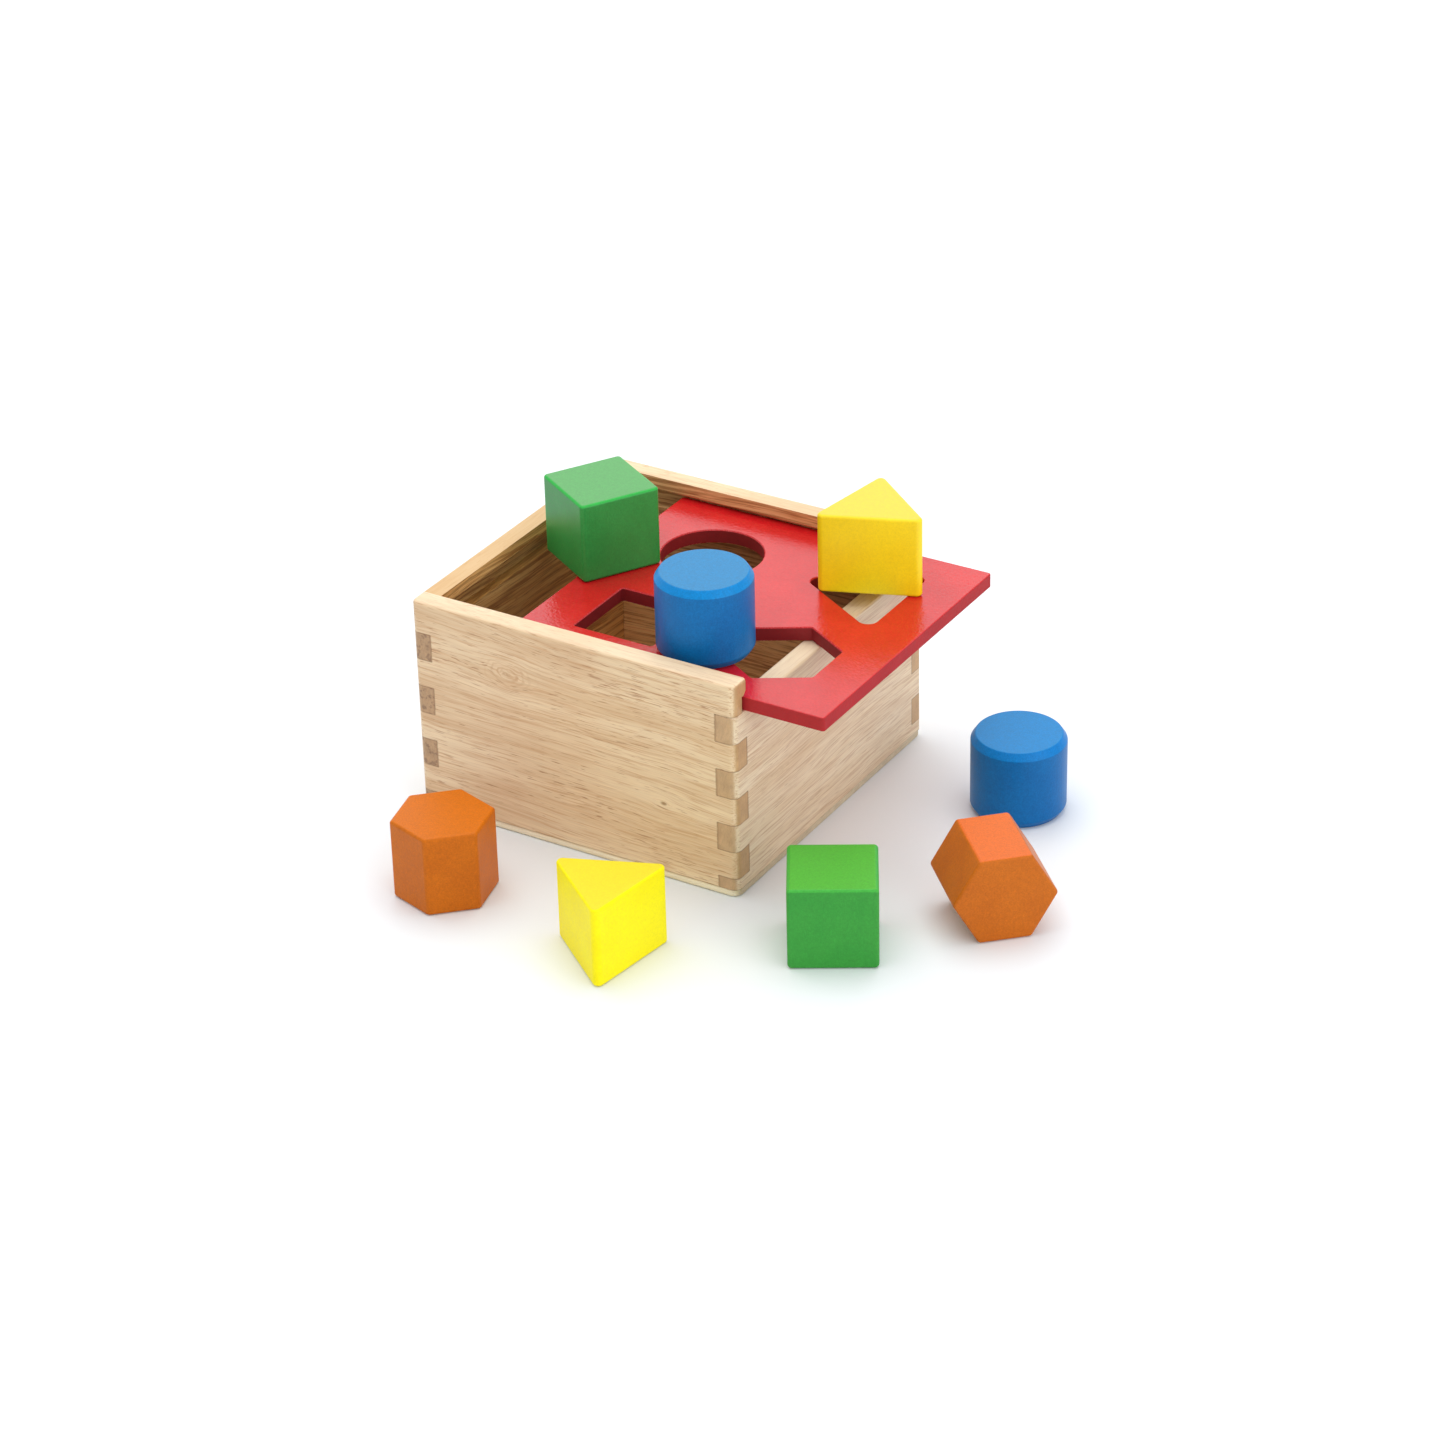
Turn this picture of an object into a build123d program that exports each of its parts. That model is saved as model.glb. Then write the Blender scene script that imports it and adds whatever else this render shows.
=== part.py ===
from build123d import *
import math
import os

# Shape sorter: an open finger-jointed wooden box, a sliding lid with four
# shaped holes, and eight wooden blocks.
#
# Frame, in millimetres: origin at the centre of the box's underside, +Z up,
# +X the way the lid slides out (over the low end wall), -Y the front side wall.

os.makedirs("parts", exist_ok=True)

# ---------------------------------------------------------------- dimensions
box_length = 140.0          # outside, along X
box_width = 140.0           # outside, along Y
wall = 8.3                  # thickness of the four walls
panel = 3.0                 # bottom panel thickness
bottom_finger = 4.9         # short finger at the foot of the end walls
finger = 11.3               # the six full fingers above it
top_finger = 12.8           # tall finger of the side walls, with the lid groove
levels = [panel, panel + bottom_finger]
for _ in range(6):
    levels.append(levels[-1] + finger)
box_height = levels[-1] + top_finger
sill = levels[-1]           # top of the low end wall and floor of the groove

corner_round = 3.0          # outer upright corners
top_round = 1.3             # rims
lip_chamfer = 1.6           # lower inner corner of the lip over the groove

groove_height = 6.4
groove_depth = 2.8          # in the side walls
end_groove_depth = 4.0      # in the closed end wall

panel_corner = 4.0
panel_edge = 1.1

lid_length = 136.2
lid_width = 127.2
lid_thickness = 5.7
lid_corner = 1.2
lid_edge = 0.5
lid_lift = 0.2              # running clearance over the sill
lid_rear = -33.1            # X of the lid's rear edge as it stands, half open
lid_shift = 0.4             # the lid sits a little towards the back wall in its grooves
lid_bottom = sill + lid_lift
lid_top = lid_bottom + lid_thickness

# holes, measured on the lid: X from the lid's rear edge, Y from its middle
square_hole = 34.0
square_hole_round = 1.0
square_hole_at = (37.0, -30.0)
circle_hole_r = 19.9
circle_hole_at = (35.2, 27.2)
hexagon_hole_r = 21.9       # centre to corner, corners towards the lid's sides
hexagon_hole_round = 1.2
hexagon_hole_at = (98.3, -28.1)
triangle_hole = 47.8        # side, before the corners are rounded
triangle_hole_round = 3.6
triangle_hole_at = (103.2, 26.9)
hole_edge = 0.4

# blocks
block_height = 32.2
cube_side = 32.9
cube_round = 1.7
cylinder_r = 18.3
cylinder_bevel = (1.8, 2.7)  # across the end, and down the side
triangle_side = 42.5
triangle_round = 2.2
hexagon_side = 19.7
hexagon_round = 1.7
block_edge = 1.2             # rounding round the ends of the prisms
block_gap = 0.05            # under the blocks that stand on the lid

# where each block stands: X, Y of its middle, turn about Z in degrees
on_lid = {
    "green_cube_1": (-33.0, 5.6, 59.2),
    "blue_cylinder_1": (39.1, -38.2, 0.0),
    "yellow_triangle_1": (66.9, 37.9, 111.4),
}
on_floor = {
    "orange_hexagon_1": (-27.9, -115.9, 43.3),
    "yellow_triangle_2": (48.0, -124.4, 292.2),
    "blue_cylinder_2": (128.5, 38.9, 0.0),
}
# the two blocks that lie on a side: X, Y of the middle of the end that faces
# out, and the direction in degrees that the block runs back from it
green_cube_2_at = (123.7, -94.1, 119.7)
orange_hexagon_2_at = (168.5, -47.6, 133.9)


def save(shape, name):
    shape.label = name
    export_step(shape, f"parts/{name}.step")


def slab(x0, x1, y0, y1, z0, z1):
    return Pos((x0 + x1) / 2, (y0 + y1) / 2, (z0 + z1) / 2) * Box(x1 - x0, y1 - y0, z1 - z0)


# ------------------------------------------------------------------- the box
X, Y = box_length / 2, box_width / 2

envelope = Pos(0, 0, box_height / 2) * Box(box_length, box_width, box_height)
envelope = fillet(envelope.edges().filter_by(Axis.Z), corner_round)
envelope = fillet(envelope.faces().sort_by(Axis.Z)[-1].edges(), top_round)

# finger levels, bottom to top: the end walls own the even cells and the side
# walls the odd ones, and the side walls' tall top finger spans each corner
end_cells = [(levels[i], levels[i + 1]) for i in range(0, 7, 2)]
side_cells = [(levels[i], levels[i + 1]) for i in range(1, 7, 2)] + [(sill, box_height)]


def side_profile(closed_end):
    """Wall section seen along the wall: u = 0 at the inner face, outward positive."""
    depth = end_groove_depth if closed_end else groove_depth
    g0, g1 = sill, sill + groove_height
    with BuildSketch(Plane.XZ) as s:
        with BuildLine():
            Polyline(
                (0, panel), (wall, panel), (wall, box_height), (0, box_height),
                (0, g1 + lip_chamfer), (lip_chamfer, g1), (depth, g1), (depth, g0), (0, g0),
                close=True,
            )
        make_face()
        inner_top = s.vertices().sort_by_distance((0, 0, box_height))[0]
        fillet(inner_top, top_round)
    return s.sketch


def side_wall():
    """Front side wall: full length, inner face towards +Y."""
    body = extrude(side_profile(False), amount=box_length / 2, both=True)
    body = Rot(0, 0, -90) * body
    body = Pos(0, -Y + wall, 0) * body
    # the groove stops inside the closed end, level with the end wall's groove
    stop = -X + wall - end_groove_depth
    body += slab(-X, stop, -Y, -Y + wall, sill, box_height - 2 * top_round)
    for z0, z1 in end_cells:
        for x0, x1 in ((-X - 1, -X + wall), (X - wall, X + 1)):
            body -= slab(x0, x1, -Y - 1, -Y + wall + 1, z0, z1)
    return body & envelope


front_side_wall = side_wall()
back_side_wall = mirror(front_side_wall, about=Plane.XZ)

# closed end wall: inner face towards +X, rim level with the side walls
closed = extrude(side_profile(True), amount=box_width / 2, both=True)
closed = Pos(-X + wall, 0, 0) * Rot(0, 0, 180) * closed
for z0, z1 in side_cells:
    for s in (-1, 1):
        ya, yb = sorted((s * (Y - wall), s * (Y + 1)))
        closed -= slab(-X - 1, -X + wall + 1, ya, yb, z0, z1 + (5 if z1 == box_height else 0))
closed_end_wall = closed & envelope

# low end wall: its top is the sill that the lid slides over
low = slab(X - wall, X, -Y, Y, panel, sill)
for z0, z1 in side_cells[:-1]:
    for s in (-1, 1):
        ya, yb = sorted((s * (Y - wall), s * (Y + 1)))
        low -= slab(X - wall - 1, X + 1, ya, yb, z0, z1)
low = low & envelope
top_long = [e for e in low.edges().filter_by(Axis.Y)
            if abs(e.center().Z - sill) < 0.01 and e.length > wall]
low_end_wall = fillet(top_long, 1.0)

bottom_panel = Pos(0, 0, panel / 2) * Box(box_length, box_width, panel)
bottom_panel = fillet(bottom_panel.edges().filter_by(Axis.Z), panel_corner)
bottom_panel = fillet(bottom_panel.faces().sort_by(Axis.Z)[-1].edges()
                      + bottom_panel.faces().sort_by(Axis.Z)[0].edges(), panel_edge)

# ------------------------------------------------------------------- the lid
lid = Pos(lid_rear + lid_length / 2, lid_shift, lid_bottom + lid_thickness / 2) * Box(lid_length, lid_width, lid_thickness)
lid = fillet(lid.edges().filter_by(Axis.Z), lid_corner)
lid = fillet(lid.faces().sort_by(Axis.Z)[-1].edges() + lid.faces().sort_by(Axis.Z)[0].edges(), lid_edge)


def through(sketch, at):
    tool = extrude(sketch, amount=lid_thickness + 2)
    return Pos(lid_rear + at[0], lid_shift + at[1], lid_bottom - 1) * tool


def polygon(radius, count, turn, rounding):
    face = RegularPolygon(radius=radius, side_count=count, rotation=turn)
    return fillet(face.vertices(), rounding)


square_sketch = fillet(Rectangle(square_hole, square_hole).vertices(), square_hole_round)
hexagon_sketch = polygon(hexagon_hole_r, 6, 90, hexagon_hole_round)
# one side of the triangle is parallel to Y, its opposite corner points to -X
triangle_sketch = polygon(triangle_hole / math.sqrt(3), 3, 180, triangle_hole_round)

for sketch, at in (
    (square_sketch, square_hole_at),
    (Circle(circle_hole_r), circle_hole_at),
    (hexagon_sketch, hexagon_hole_at),
    (triangle_sketch, triangle_hole_at),
):
    lid -= through(sketch, at)
rim_edges = [e for f in (lid.faces().sort_by(Axis.Z)[-1], lid.faces().sort_by(Axis.Z)[0])
             for w in f.inner_wires() for e in w.edges()]
sliding_lid = chamfer(rim_edges, hole_edge)

# ---------------------------------------------------------------- the blocks


def prism(sketch, height, cut):
    """Upright block with rounded-over ends, its middle on the origin's axis, foot at z = 0."""
    body = extrude(sketch, amount=height)
    ends = body.faces().sort_by(Axis.Z)[-1].edges() + body.faces().sort_by(Axis.Z)[0].edges()
    return fillet(ends, cut)


cube = prism(fillet(Rectangle(cube_side, cube_side).vertices(), cube_round), block_height, block_edge)
across, down = cylinder_bevel
outline = Polyline((0, 0), (cylinder_r - across, 0), (cylinder_r, down), (cylinder_r, block_height - down),
                   (cylinder_r - across, block_height), (0, block_height), close=True)
outline = make_face(outline)
for at, soft in (((cylinder_r - across, 0), 0.7), ((cylinder_r - across, block_height), 0.7),
                 ((cylinder_r, down), 1.2), ((cylinder_r, block_height - down), 1.2)):
    outline = fillet([v for v in outline.vertices() if abs(v.X - at[0]) < 0.01 and abs(v.Y - at[1]) < 0.01], soft)
cylinder = revolve(Plane.XZ * outline, Axis.Z)
triangle = prism(polygon(triangle_side / math.sqrt(3), 3, 0, triangle_round), block_height, block_edge)
hexagon = prism(polygon(hexagon_side, 6, 0, hexagon_round), block_height, block_edge)
shapes = {"green_cube": cube, "blue_cylinder": cylinder, "yellow_triangle": triangle, "orange_hexagon": hexagon}


def place(name, x, y, turn, z):
    return Pos(x, y, z) * Rot(0, 0, turn) * shapes[name[:-2]]


blocks = {}
for name, (x, y, turn) in on_lid.items():
    blocks[name] = place(name, x, y, turn, lid_top + block_gap)
for name, (x, y, turn) in on_floor.items():
    blocks[name] = place(name, x, y, turn, 0)


def lying(shape, half_height, at):
    """Lay an upright block on its side, its foot end at `at`, running back along the direction."""
    x, y, turn = at
    return Pos(x, y, half_height) * Rot(0, 0, turn) * Rot(0, 90, 0) * shape


blocks["green_cube_2"] = lying(cube, cube_side / 2, green_cube_2_at)
blocks["orange_hexagon_2"] = lying(Rot(0, 0, 30) * hexagon, hexagon_side * math.sqrt(3) / 2, orange_hexagon_2_at)

for name, shape in {
    "front_side_wall": front_side_wall,
    "back_side_wall": back_side_wall,
    "closed_end_wall": closed_end_wall,
    "low_end_wall": low_end_wall,
    "bottom_panel": bottom_panel,
    "sliding_lid": sliding_lid,
    **blocks,
}.items():
    save(shape, name)
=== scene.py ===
import bpy
import math
from mathutils import Matrix, Vector


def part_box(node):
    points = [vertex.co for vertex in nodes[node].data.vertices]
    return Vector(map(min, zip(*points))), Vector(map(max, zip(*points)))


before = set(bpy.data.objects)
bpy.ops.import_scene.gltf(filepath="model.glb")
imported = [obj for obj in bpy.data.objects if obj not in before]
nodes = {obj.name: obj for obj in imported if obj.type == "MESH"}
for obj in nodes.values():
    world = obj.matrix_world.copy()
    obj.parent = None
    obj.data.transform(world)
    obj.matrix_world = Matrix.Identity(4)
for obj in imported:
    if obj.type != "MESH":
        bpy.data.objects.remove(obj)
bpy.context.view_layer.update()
scene = bpy.context.scene

# ------------------------------------------------------------ layout of the joints, mm
HALF = 70.0
WALL = 8.3
PANEL = 3.0
FOOT = 7.9          # top of the short finger
FINGER = 11.3
SILL = 75.7


def lin(r, g, b):
    """sRGB 0-255 to linear."""
    out = []
    for c in (r, g, b):
        c /= 255.0
        out.append(c / 12.92 if c <= 0.04045 else ((c + 0.055) / 1.055) ** 2.4)
    return (*out, 1.0)


class Net:
    """A few shorthands over one material's node tree."""

    def __init__(self, name):
        self.mat = bpy.data.materials.new(name)
        self.mat.use_nodes = True
        self.t = self.mat.node_tree
        self.t.nodes.clear()
        self.out = self.t.nodes.new("ShaderNodeOutputMaterial")
        self.bsdf = self.t.nodes.new("ShaderNodeBsdfPrincipled")
        self.t.links.new(self.bsdf.outputs[0], self.out.inputs[0])

    def put(self, value, socket):
        if isinstance(value, bpy.types.NodeSocket):
            self.t.links.new(value, socket)
        else:
            socket.default_value = value

    def m(self, op, a, b=0.0, c=0.0, clamp=False):
        n = self.t.nodes.new("ShaderNodeMath")
        n.operation = op
        n.use_clamp = clamp
        for v, s in zip((a, b, c), n.inputs):
            self.put(v, s)
        return n.outputs[0]

    def add(self, a, b):
        return self.m("ADD", a, b)

    def sub(self, a, b):
        return self.m("SUBTRACT", a, b)

    def mul(self, a, b):
        return self.m("MULTIPLY", a, b)

    def fma(self, a, b, c):
        return self.m("MULTIPLY_ADD", a, b, c)

    def ramp(self, x, x0, x1, y0=0.0, y1=1.0, smooth=True):
        n = self.t.nodes.new("ShaderNodeMapRange")
        n.interpolation_type = "SMOOTHSTEP" if smooth else "LINEAR"
        for v, s in zip((x, x0, x1, y0, y1), n.inputs):
            self.put(v, s)
        return n.outputs[0]

    def xyz(self, x, y, z):
        n = self.t.nodes.new("ShaderNodeCombineXYZ")
        for v, s in zip((x, y, z), n.inputs):
            self.put(v, s)
        return n.outputs[0]

    def split(self, v):
        n = self.t.nodes.new("ShaderNodeSeparateXYZ")
        self.t.links.new(v, n.inputs[0])
        return n.outputs[0], n.outputs[1], n.outputs[2]

    def noise(self, v, scale=1.0, detail=2.0, rough=0.5, distortion=0.0):
        n = self.t.nodes.new("ShaderNodeTexNoise")
        n.noise_dimensions = "3D"
        self.put(v, n.inputs["Vector"])
        n.inputs["Scale"].default_value = scale
        n.inputs["Detail"].default_value = detail
        n.inputs["Roughness"].default_value = rough
        n.inputs["Distortion"].default_value = distortion
        return n.outputs["Fac"]

    def cells(self, v, scale=1.0, randomness=1.0):
        n = self.t.nodes.new("ShaderNodeTexVoronoi")
        n.feature = "F1"
        self.put(v, n.inputs["Vector"])
        n.inputs["Scale"].default_value = scale
        n.inputs["Randomness"].default_value = randomness
        return n.outputs["Distance"], n.outputs["Color"]

    def mix(self, f, a, b, mode="MIX"):
        n = self.t.nodes.new("ShaderNodeMix")
        n.data_type = "RGBA"
        n.blend_type = mode
        n.clamp_factor = True
        self.put(f, n.inputs[0])
        self.put(a, n.inputs[6])
        self.put(b, n.inputs[7])
        return n.outputs[2]

    def gain(self, colour, k):
        """colour times a grey number k."""
        n = self.t.nodes.new("ShaderNodeVectorMath")
        n.operation = "SCALE"
        self.put(colour, n.inputs[0])
        self.put(k, n.inputs[3])
        return n.outputs[0]

    def coords(self):
        """Object coordinates in millimetres, and the object-space normal."""
        n = self.t.nodes.new("ShaderNodeTexCoord")
        s = self.t.nodes.new("ShaderNodeVectorMath")
        s.operation = "SCALE"
        self.t.links.new(n.outputs["Object"], s.inputs[0])
        s.inputs[3].default_value = 1000.0
        return s.outputs[0], n.outputs["Normal"]

    def bump(self, height, distance, strength=1.0, normal=None):
        n = self.t.nodes.new("ShaderNodeBump")
        n.inputs["Strength"].default_value = strength
        n.inputs["Distance"].default_value = distance
        self.put(height, n.inputs["Height"])
        if normal is not None:
            self.t.links.new(normal, n.inputs["Normal"])
        return n.outputs[0]


AX = {"x": 0, "y": 1, "z": 2}


def wood(name, grain, across, through, seed, light, base, streak, pore, end_tint,
         fine=1.0, pore_amount=1.0, line_amount=1.0, band_amount=1.0, slope=0.0, knots=(), crowds=(),
         joints=None, interior_shade=None, groove_shade_depth=0.0, top_painted_light=0.0, top_painted_light_tint=None, blotch=0.0, rough=0.44):
    """Close-grained pale hardwood, one board.

    grain, across and through name the board's axes: along the fibres, across its face and
    through its thickness. knots are (along, across, radius, darkness), crowds are
    (along, across, half length, half width, amount) where the pores lie thicker."""
    n = Net(name)
    p, normal = n.coords()
    c = n.split(p)
    nrm = n.split(normal)
    u0, v0, w0 = c[AX[grain]], c[AX[across]], c[AX[through]]
    u = n.add(u0, seed * 173.0)

    # the fibres run almost straight, and part round a knot
    v = v0
    knot_dark = None
    eye = None
    if knots:
        wild = n.noise(n.xyz(n.mul(u0, 1 / 6.5), n.mul(v0, 1 / 4.5), n.fma(w0, 1 / 6, seed)), 1.0, 2.0, 0.55)
        wild2 = n.noise(n.xyz(n.mul(u0, 1 / 6.5), n.fma(v0, 1 / 4.5, 9.0), n.fma(w0, 1 / 6, seed)), 1.0, 2.0, 0.55)
    for ku, kv, radius, dark in knots:
        du = n.mul(n.fma(n.sub(wild, 0.5), radius * 1.5, n.sub(u0, ku)), 0.62)
        dv = n.fma(n.sub(wild2, 0.5), radius * 0.9, n.sub(v, kv))
        d2 = n.add(n.mul(du, du), n.mul(dv, dv))
        pull = n.m("DIVIDE", radius * radius, n.add(d2, radius * radius))
        v = n.sub(v, n.mul(dv, pull))
        d = n.m("SQRT", d2)
        core = n.mul(n.ramp(d, radius * 0.62, radius * 0.15), dark)
        rings = n.ramp(n.m("SINE", n.mul(d, 2 * math.pi / 1.9)), 0.0, 1.0)
        near = n.m("EXPONENT", n.mul(d2, -1.0 / (radius * radius * 2.2)))
        rings = n.mul(rings, n.mul(near, 1.0 if radius > 3.0 else 0.15))
        knot_dark = core if knot_dark is None else n.m("MAXIMUM", knot_dark, core)
        eye = rings if eye is None else n.m("MAXIMUM", eye, rings)
    slow = n.noise(n.xyz(n.mul(u, 1 / 95), n.mul(v0, 1 / 45), n.mul(w0, 1 / 45)), 1.0, 1.0, 0.4)
    ripple = n.noise(n.xyz(n.mul(u, 1 / 33), n.mul(v0, 1 / 20), n.fma(w0, 1 / 20, 7.7)), 1.0, 1.0, 0.4)
    v = n.fma(n.sub(slow, 0.5), 7.0, v)
    v = n.fma(n.sub(ripple, 0.5), 1.6, v)
    v = n.fma(u0, slope, v)
    w = w0

    # broad soft bands, thin long lines, and hair-fine fibres
    band = n.noise(n.xyz(n.mul(u, 1 / 150), n.mul(v, 1 / 7.0), n.fma(w, 1 / 7.0, seed)), 1.0, 2.0, 0.5)
    patch = n.noise(n.xyz(n.mul(u, 1 / 42), n.mul(v, 1 / 16), n.fma(w, 1 / 16, 4.0 + seed)), 1.0, 2.0, 0.5)
    line = n.noise(n.xyz(n.mul(u, 1 / 40), n.mul(v, fine / 1.5), n.fma(w, fine / 1.5, seed)), 1.0, 3.0, 0.70)
    stroke = n.noise(n.xyz(n.mul(u, 1 / 17), n.fma(v, fine / 0.78, 11.0), n.fma(w, fine / 0.78, seed)), 1.0, 1.0, 0.5)
    hair = n.noise(n.xyz(n.mul(u, 1 / 15), n.mul(v, 1 / 0.34), n.mul(w, 1 / 0.34)), 1.0, 2.0, 0.6)

    # open pores: short dark dashes that follow the fibres
    dash = n.noise(n.xyz(n.mul(u, 1 / 6.0), n.mul(v, 1 / 0.46), n.mul(w, 1 / 0.46)), 1.0, 1.0, 0.35)
    dash2 = n.noise(n.xyz(n.mul(u, 1 / 9.0), n.fma(v, 1 / 0.62, 31.0), n.mul(w, 1 / 0.62)), 1.0, 1.0, 0.35)
    crowd = n.ramp(n.noise(n.xyz(n.mul(u, 1 / 48), n.fma(v, 1 / 12, 3.0), n.mul(w, 1 / 12)), 1.0, 2.0, 0.5), 0.36, 0.68)
    for cu, cv, ru, rv, amount in crowds:
        du, dv = n.mul(n.sub(u0, cu), 1 / ru), n.mul(n.sub(v0, cv), 1 / rv)
        g = n.m("EXPONENT", n.mul(n.add(n.mul(du, du), n.mul(dv, dv)), -1.0))
        crowd = n.fma(g, amount, crowd)
    pores = n.ramp(n.sub(dash, n.fma(crowd, -0.070, 0.700)), 0.0, 0.09)
    pores2 = n.ramp(n.sub(dash2, n.fma(crowd, -0.080, 0.690)), 0.0, 0.10)
    pores_all = n.mul(n.m("MAXIMUM", pores, n.mul(pores2, 0.8)), pore_amount)

    # colour
    col = n.mix(n.ramp(band, 0.30, 0.70), light, base)
    col = n.mix(n.mul(n.ramp(patch, 0.42, 0.78), 0.42 * band_amount), col, streak)
    col = n.mix(n.mul(n.ramp(line, 0.49, 0.70), 0.58 * line_amount), col, streak)
    col = n.mix(n.mul(n.ramp(line, 0.46, 0.28), 0.45 * line_amount), col, light)
    col = n.mix(n.mul(n.ramp(stroke, 0.53, 0.70), 0.62 * line_amount), col, streak)
    col = n.gain(col, n.fma(n.sub(hair, 0.5), 0.34, 1.0))
    col = n.mix(n.mul(pores_all, 0.66), col, pore)
    if eye is not None:
        col = n.mix(n.mul(eye, n.ramp(hair, 0.35, 0.62, 0.12, 0.58)), col, lin(188, 140, 96))
        col = n.mix(knot_dark, col, lin(146, 108, 58))

    # painted light: the rims' up-facing faces are tinted as light from above shows them, a paler cream on most boards
    # and a deeper tan on the closed end
    if top_painted_light:
        top = n.ramp(nrm[AX["z"]], 0.45, 0.9)
        col = n.mix(n.mul(top, top_painted_light), col, top_painted_light_tint)

    # painted shade: the inside faces and the groove are turned a darker, streaky brown for the shade inside the box,
    # painted paler low down and just above the groove
    if interior_shade is not None:
        edge, shade_tint = interior_shade
        inside_shade_mask = n.ramp(n.m("ABSOLUTE", w0), edge + 0.15, edge + 0.05)
        inside_shade_mask = n.mul(inside_shade_mask, n.ramp(n.m("ABSOLUTE", nrm[AX["z"]]), 0.8, 0.6))
        if groove_shade_depth:
            slot_shade_mask = n.m("LESS_THAN", n.m("ABSOLUTE", w0), edge + groove_shade_depth + 0.25)
            slot_shade_mask = n.mul(slot_shade_mask, n.m("LESS_THAN", n.m("ABSOLUTE", n.sub(c[2], SILL + 4.0)), 4.25))
            inside_shade_mask = n.m("MAXIMUM", inside_shade_mask, slot_shade_mask)
        dark = n.mix(n.ramp(line, 0.42, 0.62), (1.02, 0.99, 0.90, 1), (0.62, 0.54, 0.44, 1))
        raw = n.mix(1.0, n.mix(1.0, col, shade_tint, "MULTIPLY"), dark, "MULTIPLY")
        lift = n.add(n.ramp(c[2], 62.0, 22.0, 0.0, 0.50), n.ramp(c[2], SILL + 6.2, SILL + 7.2, 0.0, 0.35))
        raw = n.gain(raw, n.add(1.0, lift))
        col = n.mix(inside_shade_mask, col, raw)

    # end grain is darker, with fine dots
    endness = n.ramp(n.m("ABSOLUTE", nrm[AX[grain]]), 0.60, 0.92)
    dots_d, _ = n.cells(n.xyz(n.mul(u0, 1 / 30), v0, w0), 2.1)
    dots = n.ramp(dots_d, 0.40, 0.10)
    rays = n.noise(n.xyz(n.mul(u0, 0.02), n.fma(w0, 0.12, n.mul(v0, 0.33)), n.fma(v0, -0.5, n.mul(w0, 2.3))), 1.0, 3.0, 0.6)
    cloud = n.noise(n.xyz(n.mul(u0, 0.05), n.mul(v0, 0.22), n.fma(w0, 0.22, seed)), 1.0, 2.0, 0.55)
    end_col = n.mix(n.mul(dots, 0.30), end_tint, pore)
    end_col = n.gain(end_col, n.fma(n.sub(rays, 0.5), 0.50, 1.0))
    end_col = n.gain(end_col, n.fma(n.sub(cloud, 0.5), 0.50, 1.0))
    if blotch:
        spot = n.noise(n.xyz(n.mul(u0, 0.3), n.mul(v0, 0.42), n.mul(w0, 0.42)), 1.0, 2.0, 0.6)
        end_col = n.mix(n.mul(n.ramp(spot, 0.50, 0.66), blotch), end_col, lin(118, 82, 58))
    rim = n.ramp(n.m("ABSOLUTE", w0), HALF - WALL + 0.9, HALF - WALL + 0.1)
    end_col = n.mix(n.mul(rim, 0.45), end_col, lin(128, 90, 56))
    col = n.mix(n.mul(endness, 0.9), col, end_col)

    # dark glue lines round the fingers and along the foot, with painted shade of the joints' hairline gaps added into
    # them
    if joints:
        long_axis, own = joints
        a = n.m("ABSOLUTE", c[AX[long_axis]])
        z = c[2]
        k = n.mul(n.sub(z, FOOT), 1 / FINGER)
        f = n.m("FRACT", n.add(k, 8.0))
        to_level = n.mul(n.m("MINIMUM", f, n.sub(1.0, f)), FINGER)
        in_corner = n.m("GREATER_THAN", a, HALF - WALL - 0.05)
        below_sill = n.m("LESS_THAN", z, SILL + 0.3)
        wobble = n.noise(n.xyz(n.mul(c[0], 0.35), n.mul(c[1], 0.35), n.mul(z, 0.35)), 1.0, 2.0, 0.6)
        flat = n.mul(n.ramp(n.fma(n.sub(wobble, 0.5), 0.4, to_level), 0.42, 0.06), in_corner)
        # the upright line where this board's face meets the other board's end grain
        odd = n.m("ABSOLUTE", n.m("MODULO", n.add(n.m("FLOOR", k), 8.0), 2.0))
        other = odd if own == "side" else n.sub(1.0, odd)
        upright = n.ramp(n.m("ABSOLUTE", n.sub(a, HALF - WALL)), 0.50, 0.10)
        upright = n.mul(upright, other)
        glue_and_shade_line = n.mul(n.m("MAXIMUM", flat, upright), below_sill)
        glue_and_shade_line = n.mul(glue_and_shade_line, n.ramp(wobble, 0.30, 0.60, 0.35, 1.0))
        foot_glue_and_shade = n.mul(n.ramp(n.fma(n.sub(wobble, 0.5), 0.3, z), PANEL + 0.42, PANEL + 0.08), 0.7)
        glue_and_shade_line = n.m("MAXIMUM", glue_and_shade_line, foot_glue_and_shade)
        col = n.mix(n.mul(glue_and_shade_line, 0.60), col, lin(116, 78, 44))

    n.put(col, n.bsdf.inputs["Base Color"])
    rr = n.fma(n.sub(line, 0.5), 0.16, rough)
    rr = n.fma(pores_all, 0.12, rr)
    n.put(rr, n.bsdf.inputs["Roughness"])
    n.bsdf.inputs["Specular IOR Level"].default_value = 0.45
    h = n.fma(hair, 0.5, n.mul(line, 0.35))
    h = n.sub(h, n.mul(pores_all, 0.9))
    n.put(n.bump(h, 0.00006, 0.5), n.bsdf.inputs["Normal"])
    return n.mat


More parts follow.
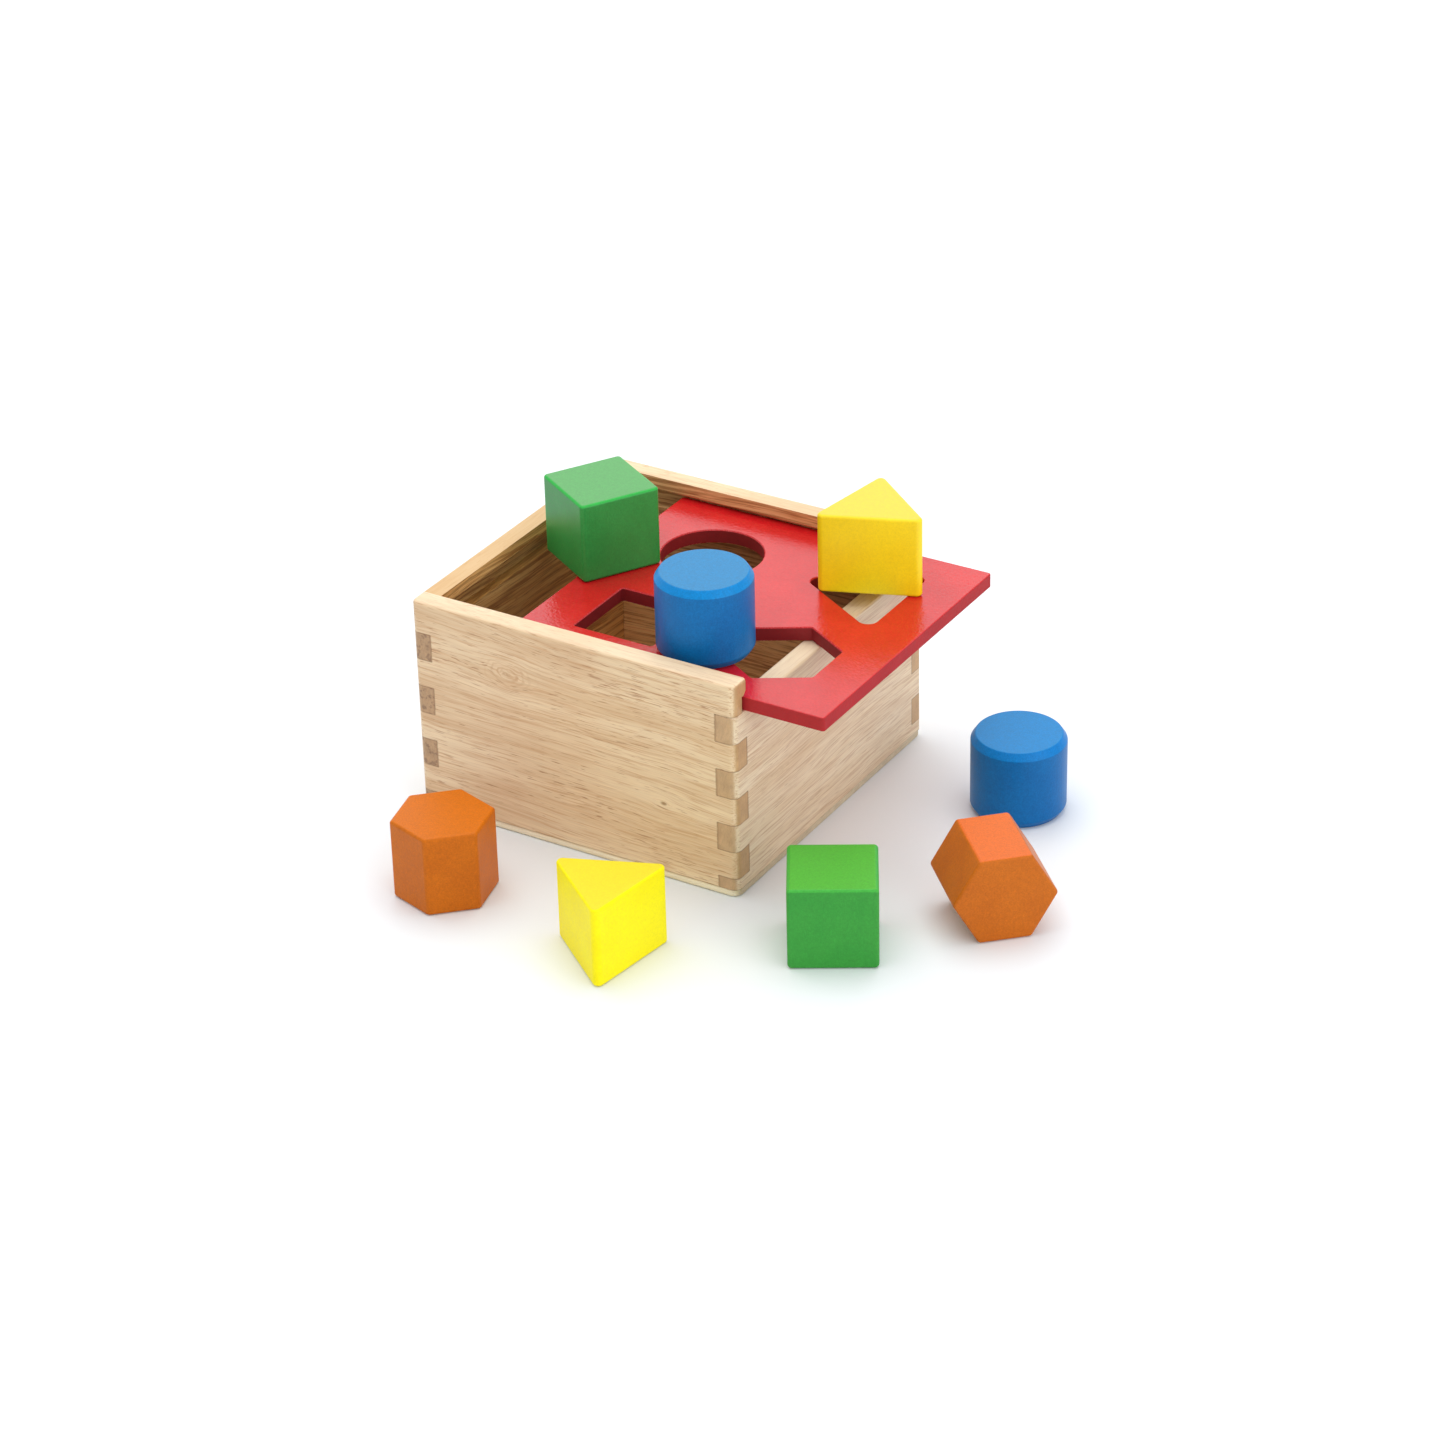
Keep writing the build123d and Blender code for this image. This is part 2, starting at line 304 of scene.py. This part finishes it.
def paint(name, colour, deep, seed, rough=0.42, spec=0.34, texture=1.0, grain="z", edge_shade=None,
          up=None, bevel_highlight=None, peel=0.0):
    """Thin satin paint over close-grained wood: a fine stipple, and the grain barely shows."""
    n = Net(name)
    p, normal = n.coords()
    c = n.split(p)
    order = {"x": (0, 1, 2), "y": (1, 0, 2), "z": (2, 0, 1)}[grain]
    u, v, w = (c[i] for i in order)
    u = n.add(u, seed * 57.0)
    tone = n.noise(n.xyz(n.mul(c[0], 1 / 13), n.mul(c[1], 1 / 13), n.fma(c[2], 1 / 13, seed)), 1.0, 2.0, 0.5)
    stipple = n.noise(n.xyz(n.mul(c[0], 1 / 0.62), n.mul(c[1], 1 / 0.62), n.fma(c[2], 1 / 0.62, seed)), 1.0, 2.0, 0.65)
    mottle = n.noise(n.xyz(n.mul(c[0], 1 / 1.5), n.mul(c[1], 1 / 1.5), n.fma(c[2], 1 / 1.5, seed)), 1.0, 2.0, 0.6)
    hair = n.noise(n.xyz(n.mul(u, 1 / 7), n.mul(v, 1 / 0.55), n.mul(w, 1 / 0.55)), 1.0, 2.0, 0.6)
    dash = n.noise(n.xyz(n.mul(u, 1 / 2.6), n.mul(v, 1 / 0.45), n.mul(w, 1 / 0.45)), 1.0, 1.0, 0.4)
    pits = n.ramp(dash, 0.71, 0.79)
    col = n.mix(n.mul(n.ramp(tone, 0.3, 0.7), 0.55), colour, deep)
    facing = n.split(normal)[2]
    lit_top_mask = n.ramp(facing, 0.80, 0.97)
    if up is not None:
        # painted light: up-facing faces take the up colour, a lighter or darker tone standing in for light from above
        col = n.mix(lit_top_mask, col, up)
    # painted highlight: the fillets between top and sides get a brighter, more saturated colour
    if bevel_highlight is not None:
        col = n.mix(n.mul(n.ramp(facing, 0.12, 0.40), n.ramp(facing, 0.98, 0.88)), col, bevel_highlight)
    col = n.gain(col, n.fma(n.sub(stipple, 0.5), 0.42 * texture, 1.0))
    col = n.gain(col, n.fma(n.sub(mottle, 0.5), 0.20 * texture, 1.0))
    col = n.gain(col, n.fma(n.sub(hair, 0.5), 0.06 * texture, 1.0))
    col = n.mix(n.mul(pits, 0.22 * texture), col, deep)
    if edge_shade is not None:
        # painted shade: the lid's side faces are darkened, most on the hole walls inside its rim
        (x0, x1, y0, y1), outer, hole = edge_shade
        nz = n.m("ABSOLUTE", n.split(normal)[2])
        within = n.mul(n.mul(n.m("GREATER_THAN", c[0], x0), n.m("LESS_THAN", c[0], x1)),
                       n.mul(n.m("GREATER_THAN", c[1], y0), n.m("LESS_THAN", c[1], y1)))
        edge_shade_factor = n.mix(within, outer, hole)
        side_faces = n.ramp(nz, 0.80, 0.40)
        col = n.mix(side_faces, col, n.mix(1.0, col, edge_shade_factor, "MULTIPLY"))
    n.put(col, n.bsdf.inputs["Base Color"])
    rr = n.fma(n.sub(mottle, 0.5), 0.14, rough)
    rr = n.fma(n.sub(stipple, 0.5), 0.16, rr)
    if edge_shade is not None:
        rr = n.fma(side_faces, 0.5, rr)
    n.put(rr, n.bsdf.inputs["Roughness"])
    n.bsdf.inputs["Specular IOR Level"].default_value = spec
    h = n.fma(stipple, 0.7, n.mul(hair, 0.3))
    h = n.sub(h, n.mul(pits, 0.5))
    bumped = n.bump(h, 0.00007 * texture, 0.6)
    if peel:
        # orange peel
        skin = n.noise(n.xyz(n.mul(c[0], 1 / 1.25), n.mul(c[1], 1 / 1.25), n.fma(c[2], 1 / 1.25, seed)), 1.0, 1.0, 0.5)
        bumped = n.bump(skin, 0.00008 * peel, 0.7, bumped)
    n.put(bumped, n.bsdf.inputs["Normal"])
    return n.mat


# ------------------------------------------------------------ the wood
LIGHT = lin(236, 211, 174)
BASE = lin(222, 191, 151)
STREAK = lin(203, 160, 117)
PORE = lin(158, 100, 60)
END = lin(187, 147, 101)
INNER = HALF - WALL

# each board's inside faces get painted shade, and its up-facing rims get painted light from above
mats = {
    "front_side_wall": wood("front_board", "x", "z", "y", 1.0, LIGHT, BASE, STREAK, PORE, END,
                            top_painted_light_tint=lin(240, 217, 184), slope=0.035, knots=((38.5, 32.0, 1.9, 0.8), (-28.0, 68.0, 3.8, 0.10)),
                            crowds=((30, 74, 42, 9, 0.7), (-5, 60, 60, 5, 0.3), (-44, 66, 12, 9, 0.5), (-28, 68, 9, 5, -0.9),
                                    (-40, 33, 26, 9, -0.7), (-20, 14, 40, 7, -0.4), (20, 45, 60, 12, -0.35)),
                            joints=("x", "side"), interior_shade=(INNER, (0.80, 0.70, 0.56, 1)), groove_shade_depth=2.8,
                            top_painted_light=0.40, fine=1.25),
    "back_side_wall": wood("back_board", "x", "z", "y", 2.3, LIGHT, BASE, STREAK, PORE, END,
                           slope=-0.02, joints=("x", "side"), interior_shade=(INNER, (0.82, 0.70, 0.58, 1)), groove_shade_depth=2.8,
                           top_painted_light=0.35, top_painted_light_tint=lin(230, 200, 156), fine=1.2),
    "closed_end_wall": wood("closed_end_board", "y", "z", "x", 3.7, LIGHT, BASE, STREAK, PORE,
                            lin(182, 146, 108), slope=0.02, joints=("y", "end"), line_amount=1.3, band_amount=1.4,
                            interior_shade=(INNER, (0.74, 0.60, 0.38, 1)), groove_shade_depth=4.0, top_painted_light=0.80, top_painted_light_tint=lin(208, 167, 110), fine=1.15,
                            blotch=0.75),
    "low_end_wall": wood("low_end_board", "y", "z", "x", 5.1, lin(236, 216, 186), lin(224, 198, 163),
                         lin(206, 172, 138), lin(168, 126, 92), lin(191, 155, 115), pore_amount=0.6,
                         line_amount=1.5, slope=0.02, joints=("y", "end"), interior_shade=(INNER, (0.74, 0.62, 0.46, 1)), top_painted_light=0.4,
                         top_painted_light_tint=lin(242, 222, 188), fine=1.5),
    "bottom_panel": wood("bottom_sheet", "x", "y", "z", 6.9, lin(248, 238, 212), lin(242, 228, 196),
                         lin(228, 206, 168), lin(188, 152, 112), lin(238, 222, 188), pore_amount=0.4),
}

# ------------------------------------------------------------ the paint
lid_lo, lid_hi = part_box("sliding_lid")
lid_rim = (lid_lo[0] * 1000 + 2.5, lid_hi[0] * 1000 - 2.5, lid_lo[1] * 1000 + 2.5, lid_hi[1] * 1000 - 2.5)
# up colours paint the lit tone of top faces, bevel colours a painted highlight on the fillets, and the lid's edge
# colours painted shade on its sides and hole walls
mats.update({
    "sliding_lid": paint("lid_red", lin(206, 26, 32), lin(190, 14, 24), 1.0, rough=0.20, spec=0.5, texture=1.0,
                         grain="y", peel=1.8, edge_shade=(lid_rim, (0.68, 0.44, 0.62, 1), (0.44, 0.32, 0.48, 1))),
    "green_cube_1": paint("block_green_a", lin(52, 153, 70), lin(40, 141, 60), 2.0, spec=0.34, rough=0.36,
                          texture=1.25, up=lin(80, 160, 84), bevel_highlight=lin(40, 176, 66)),
    "green_cube_2": paint("block_green_b", lin(56, 152, 56), lin(46, 144, 52), 3.0, spec=0.25,
                          texture=1.25, up=lin(79, 176, 54), bevel_highlight=lin(66, 172, 62)),
    "blue_cylinder_1": paint("block_blue_a", lin(0, 106, 172), lin(0, 96, 163), 4.0, spec=0.22, rough=0.36,
                             texture=1.4, up=lin(28, 127, 182), bevel_highlight=lin(0, 128, 198)),
    "blue_cylinder_2": paint("block_blue_b", lin(0, 102, 168), lin(0, 93, 158), 5.0, spec=0.20, rough=0.38,
                             texture=1.4, up=lin(8, 127, 194), bevel_highlight=lin(0, 118, 192)),
    "yellow_triangle_1": paint("block_yellow_a", lin(250, 222, 18), lin(244, 212, 10), 6.0, spec=0.44, rough=0.36,
                               texture=0.65, up=lin(226, 202, 32)),
    "yellow_triangle_2": paint("block_yellow_b", lin(252, 238, 14), lin(248, 230, 8), 7.0, spec=0.14,
                               texture=0.65, up=lin(234, 216, 46)),
    "orange_hexagon_1": paint("block_orange_a", lin(198, 104, 10), lin(186, 94, 8), 8.0, spec=0.16,
                              texture=1.3, up=lin(206, 108, 6)),
    "orange_hexagon_2": paint("block_orange_b", lin(194, 102, 16), lin(184, 93, 11), 9.0, spec=0.20,
                              texture=1.3, up=lin(220, 106, 34)),
})
for name, mat in mats.items():
    me = nodes[name].data
    me.materials.clear()
    me.materials.append(mat)

# ------------------------------------------------------------ floor
floor_mesh = bpy.data.meshes.new("floor")
R = 30.0
floor_mesh.from_pydata([(-R, -R, 0), (R, -R, 0), (R, R, 0), (-R, R, 0)], [], [(0, 1, 2, 3)])
floor = bpy.data.objects.new("floor", floor_mesh)
scene.collection.objects.link(floor)
floor.location.z = -0.0001
fm = Net("floor_white")
fm.bsdf.inputs["Base Color"].default_value = (0.85, 0.885, 0.915, 1)
fm.bsdf.inputs["Roughness"].default_value = 0.9
fm.bsdf.inputs["Specular IOR Level"].default_value = 0.15
floor_mesh.materials.append(fm.mat)

# ------------------------------------------------------------ light
world = bpy.data.worlds.new("studio")
scene.world = world
world.use_nodes = True
world.node_tree.nodes["Background"].inputs[0].default_value = (1.0, 1.0, 1.0, 1)
world.node_tree.nodes["Background"].inputs[1].default_value = 0.78


def softbox(name, at, aim, width, height, radiance, colour=(1, 1, 1)):
    lamp = bpy.data.lights.new(name, "AREA")
    lamp.shape = "RECTANGLE"
    lamp.size, lamp.size_y = width, height
    lamp.energy = radiance * math.pi * width * height
    lamp.color = colour
    o = bpy.data.objects.new(name, lamp)
    scene.collection.objects.link(o)
    o.location = at
    o.rotation_mode = "QUATERNION"
    o.rotation_quaternion = (Vector(aim) - Vector(at)).to_track_quat("-Z", "Y")
    return o


softbox("overhead", (-0.15, 0.15, 1.25), (0, 0, 0), 1.3, 1.3, 1.8)
softbox("back", (-0.95, 1.35, 0.95), (0, 0, 0.05), 1.9, 1.2, 0.85)
softbox("right", (1.25, -0.35, 0.45), (0.05, 0, 0.04), 1.2, 0.8, 1.55)

# ------------------------------------------------------------ camera
az, el, roll = math.radians(31.75), math.radians(29.45), math.radians(-1.5)
back = Vector((math.sin(az) * math.cos(el), -math.cos(az) * math.cos(el), math.sin(el)))
right = (-back).cross(Vector((0, 0, 1))).normalized()
up = right.cross(-back)
r2 = math.cos(roll) * right + math.sin(roll) * up
u2 = -math.sin(roll) * right + math.cos(roll) * up
cam_data = bpy.data.cameras.new("camera")
cam = bpy.data.objects.new("camera", cam_data)
scene.collection.objects.link(cam)
cam_data.sensor_width = 36.0
cam_data.sensor_fit = "HORIZONTAL"
cam_data.lens = 105.6
cam_data.clip_start, cam_data.clip_end = 0.05, 100.0
position = r2 * 0.0171 + u2 * 0.0189 + back * 1.6316
cam.matrix_world = Matrix((
    (r2.x, u2.x, back.x, position.x),
    (r2.y, u2.y, back.y, position.y),
    (r2.z, u2.z, back.z, position.z),
    (0, 0, 0, 1),
))
scene.camera = cam

scene.view_settings.view_transform = "Standard"
scene.view_settings.look = "None"

bpy.context.view_layer.update()
